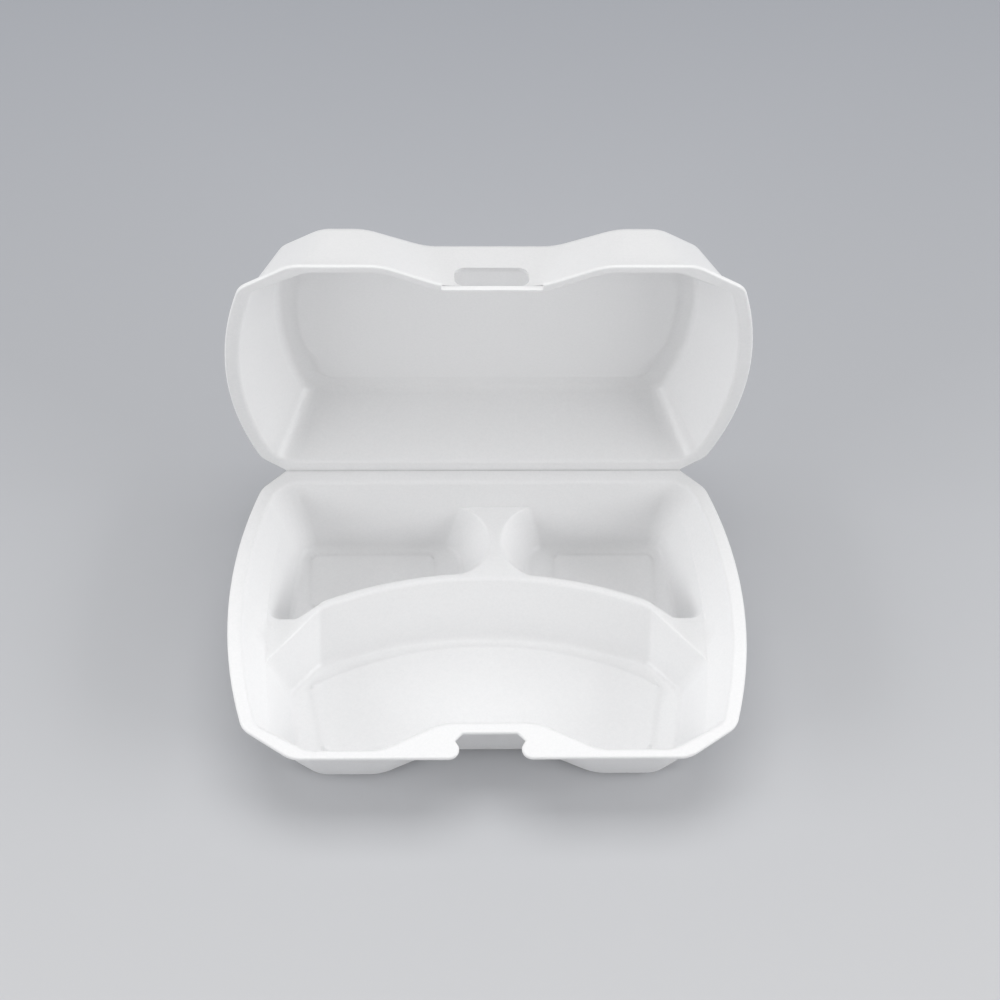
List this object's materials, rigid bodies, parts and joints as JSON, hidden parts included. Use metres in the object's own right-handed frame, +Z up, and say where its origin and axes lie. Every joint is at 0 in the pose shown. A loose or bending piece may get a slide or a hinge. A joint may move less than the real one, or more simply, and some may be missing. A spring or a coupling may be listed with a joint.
{
  "type": "foam clamshell container",
  "caption": "White foam clamshell food box standing open, with a hinged domed lid, a wavy front, divided compartments in the tray, a catch window in the lid and a notch in the tray rim.",
  "frame": {"origin": "centre of the bounding box on the table, with the lid open at a right angle", "axes": "+X to the right along the hinge, as seen from the front; +Y to the back, towards the lid; +Z up"},
  "size_m": [0.24, 0.1932, 0.1988],
  "materials": {
    "foam": "matte"
  },
  "bodies": {
    "tray": {"tray": "foam"},
    "lid": {"lid": "foam"}
  },
  "joints": [
    {"name": "lid_hinge", "type": "hinge", "parent": "tray", "child": "lid", "pos_m": [0, 0.06062, 0.04155], "axis": [1, 0, 0], "range_deg": [-90, 90]}
  ]
}
